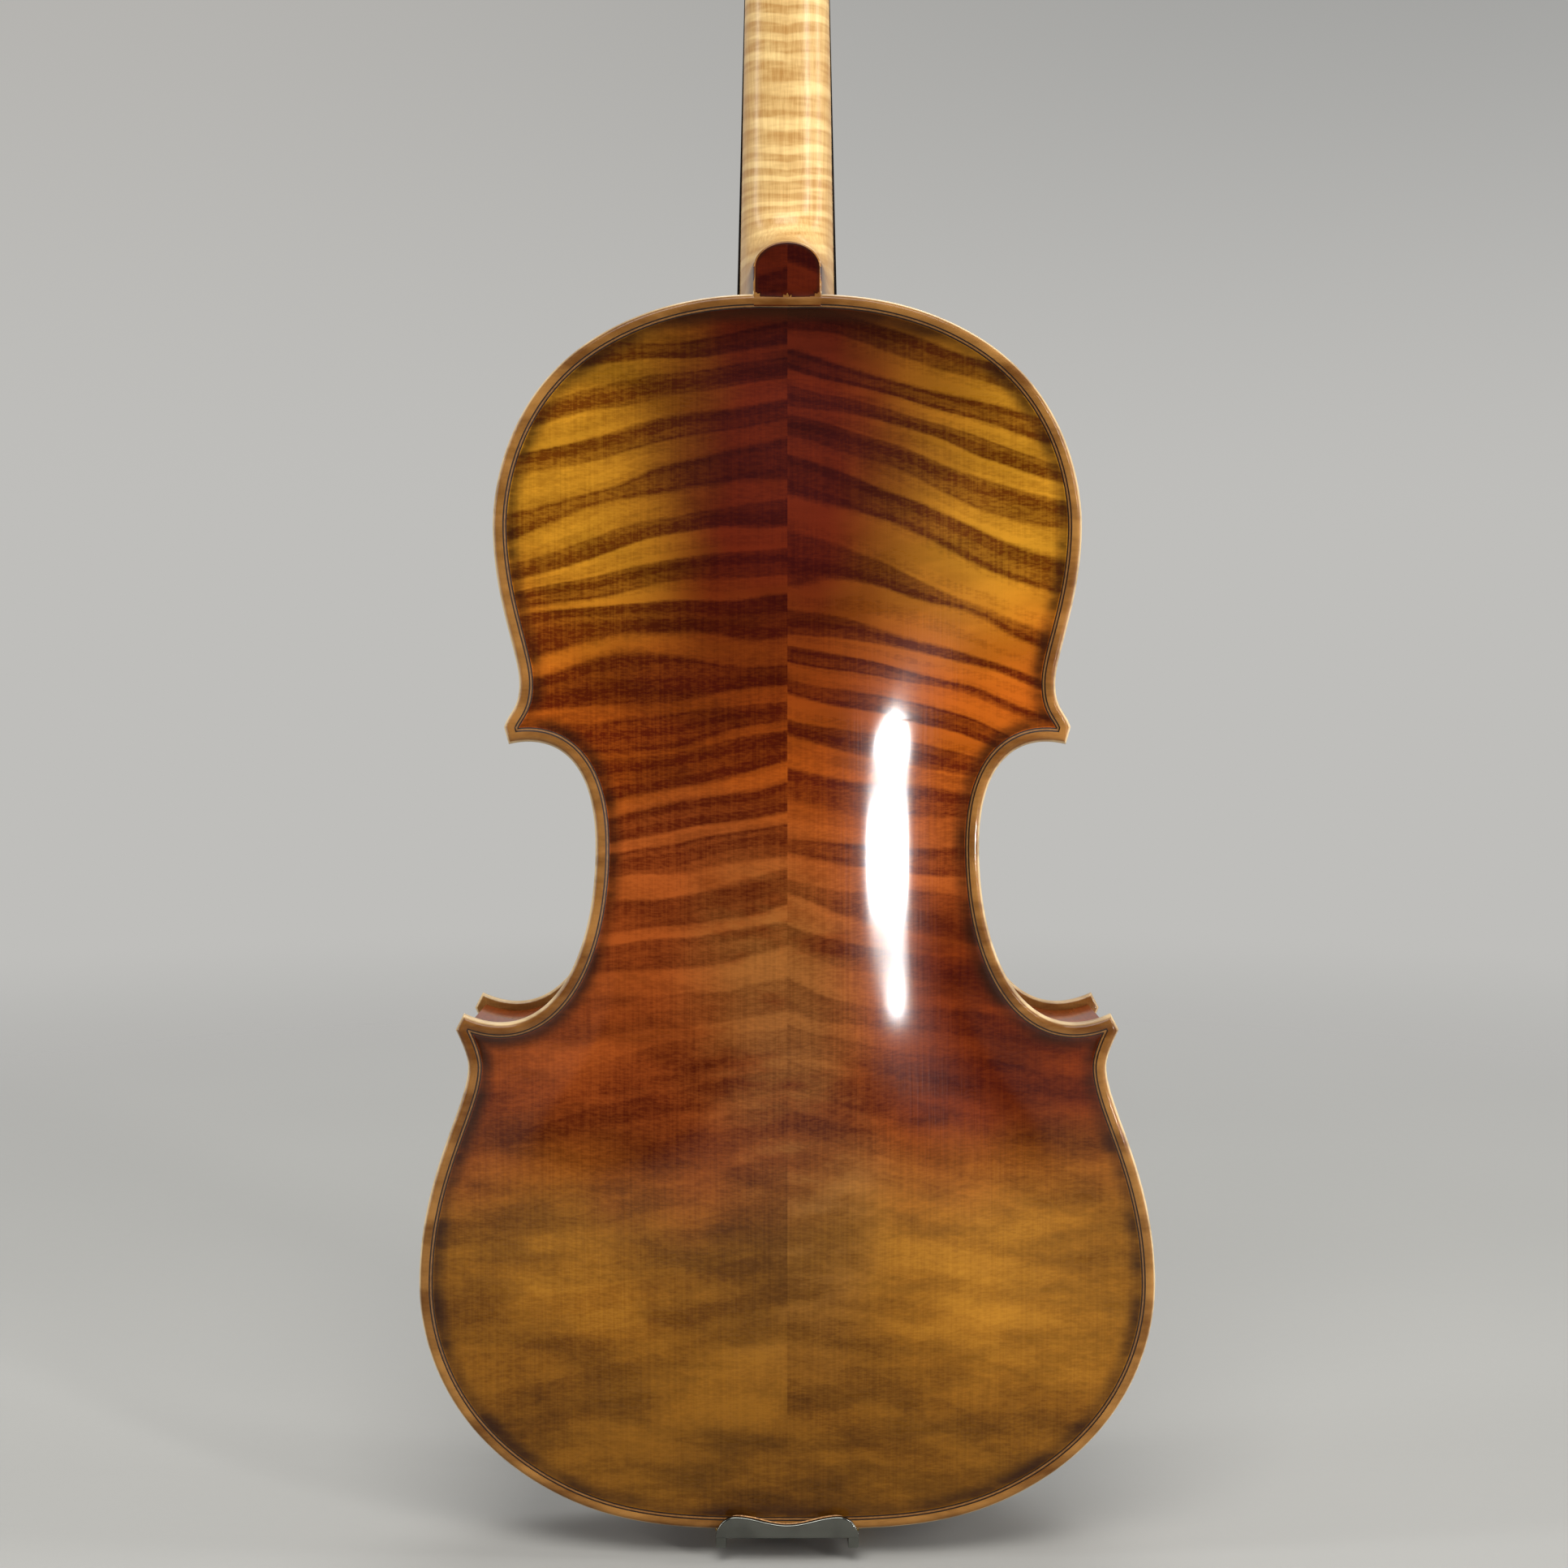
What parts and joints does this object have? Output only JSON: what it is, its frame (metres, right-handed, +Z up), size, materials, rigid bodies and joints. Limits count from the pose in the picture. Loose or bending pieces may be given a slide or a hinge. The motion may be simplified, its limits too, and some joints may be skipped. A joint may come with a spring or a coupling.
{
  "type": "viola",
  "caption": "Bowed viola with arched two-piece back, scroll head, tuning pegs, bridge, tailpiece, fine tuner and a chin rest clamped over the tailpiece.",
  "frame": {"origin": "centre of the end button's flat outer face, at half the height of the ribs", "axes": "+Z up the body towards the scroll, -Y towards the back, +Y towards the belly and strings, +X the bass side"},
  "size_m": [0.2432, 0.1115, 0.6788],
  "materials": {
    "varnished_maple": "flamed maple under glossy antiqued red-brown and golden varnish",
    "varnished_spruce": "spruce under glossy antiqued orange-brown varnish",
    "purfling": "inlaid strip, dark outer lines with a pale core",
    "bare_willow": "bare planed wood, inside the body",
    "bare_spruce": "bare straight-grained spruce",
    "neck_maple": "oiled yellow-tan maple, darker at the heel",
    "bridge_maple": "bare speckled maple",
    "ebony": "polished ebony",
    "cork": "sheet cork",
    "polished_metal": "bright nickel plate",
    "string_metal": "flat-wound metal strings",
    "tail_gut": "black nylon cord held taut"
  },
  "bodies": {
    "instrument": {"back_bass_half": "varnished_maple", "back_lining_lower_bass": "bare_willow", "back_lining_lower_treble": "bare_willow", "back_lining_upper_bass": "bare_willow", "back_lining_upper_treble": "bare_willow", "back_lining_waist_bass": "bare_willow", "back_lining_waist_treble": "bare_willow", "back_purfling": "purfling", "back_treble_half": "varnished_maple", "bass_bar": "bare_spruce", "belly_bass_half": "varnished_spruce", "belly_lining_lower_bass": "bare_willow", "belly_lining_lower_treble": "bare_willow", "belly_lining_upper_bass": "bare_willow", "belly_lining_upper_treble": "bare_willow", "belly_lining_waist_bass": "bare_willow", "belly_lining_waist_treble": "bare_willow", "belly_purfling_bass": "purfling", "belly_purfling_treble": "purfling", "belly_treble_half": "varnished_spruce", "bridge": "bridge_maple", "chin_rest": "ebony", "chin_rest_cork_bass": "cork", "chin_rest_cork_treble": "cork", "clamp_bracket": "polished_metal", "end_button": "ebony", "fine_tuner_body": "polished_metal", "fingerboard": "ebony", "lower_block": "bare_willow", "lower_corner_block_bass": "bare_willow", "lower_corner_block_treble": "bare_willow", "lower_rib_bass": "varnished_maple", "lower_rib_treble": "varnished_maple", "neck": "neck_maple", "nut": "ebony", "saddle": "ebony", "sound_post": "bare_spruce", "string_A": "string_metal", "string_C": "string_metal", "string_D": "string_metal", "string_G": "string_metal", "tail_gut": "tail_gut", "tailpiece": "ebony", "upper_block": "bare_willow", "upper_corner_block_bass": "bare_willow", "upper_corner_block_treble": "bare_willow", "upper_rib_bass": "varnished_maple", "upper_rib_treble": "varnished_maple", "waist_rib_bass": "varnished_maple", "waist_rib_treble": "varnished_maple"},
    "peg_C": {"peg_C": "ebony"},
    "peg_G": {"peg_G": "ebony"},
    "peg_D": {"peg_D": "ebony"},
    "peg_A": {"peg_A": "ebony"},
    "clamp_barrel_bass": {"clamp_barrel_bass": "polished_metal"},
    "clamp_barrel_treble": {"clamp_barrel_treble": "polished_metal"},
    "clamp_foot": {"clamp_foot": "polished_metal", "clamp_foot_cork": "cork"},
    "fine_tuner_lever": {"fine_tuner_lever": "polished_metal"},
    "fine_tuner_screw": {"fine_tuner_screw": "polished_metal"}
  },
  "joints": [
    {"name": "peg_C_turn", "type": "hinge", "parent": "instrument", "child": "peg_C", "pos_m": [0, 0.00207, 0.58132], "axis": [1, 0, 0], "continuous": true},
    {"name": "peg_A_turn", "type": "hinge", "parent": "instrument", "child": "peg_A", "pos_m": [0, -0.00229, 0.59488], "axis": [1, 0, 0], "continuous": true},
    {"name": "peg_G_turn", "type": "hinge", "parent": "instrument", "child": "peg_G", "pos_m": [0, -0.00695, 0.6084], "axis": [1, 0, 0], "continuous": true},
    {"name": "peg_D_turn", "type": "hinge", "parent": "instrument", "child": "peg_D", "pos_m": [0, -0.0119, 0.62188], "axis": [1, 0, 0], "continuous": true},
    {"name": "clamp_barrel_bass_turn", "type": "hinge", "parent": "instrument", "child": "clamp_barrel_bass", "pos_m": [0.0219, 0, 0.0062], "axis": [0, -1, 0], "range_deg": [0, 910]},
    {"name": "clamp_barrel_treble_turn", "type": "hinge", "parent": "instrument", "child": "clamp_barrel_treble", "pos_m": [-0.0219, 0, 0.0062], "axis": [0, -1, 0], "range_deg": [0, 910]},
    {"name": "clamp_foot_slide", "type": "slide", "parent": "instrument", "child": "clamp_foot", "axis": [0, -1, 0], "range_m": [0, 0.004]},
    {"name": "fine_tuner_screw_turn", "type": "hinge", "parent": "instrument", "child": "fine_tuner_screw", "pos_m": [-0.01725, 0.05282, 0.12412], "axis": [0, -0.9776, 0.2105], "range_deg": [0, 2160]},
    {"name": "fine_tuner_lever_swing", "type": "hinge", "parent": "instrument", "child": "fine_tuner_lever", "pos_m": [-0.01725, 0.05771, 0.1421], "axis": [-1, 0, 0], "range_deg": [0, 9.5]}
  ],
  "couplings": [
    {"joint": "clamp_barrel_bass_turn", "follows": "clamp_foot_slide", "rad_per_m": 3927},
    {"joint": "clamp_barrel_treble_turn", "follows": "clamp_foot_slide", "rad_per_m": 3927},
    {"joint": "fine_tuner_lever_swing", "follows": "fine_tuner_screw_turn", "ratio": 0.00427}
  ]
}
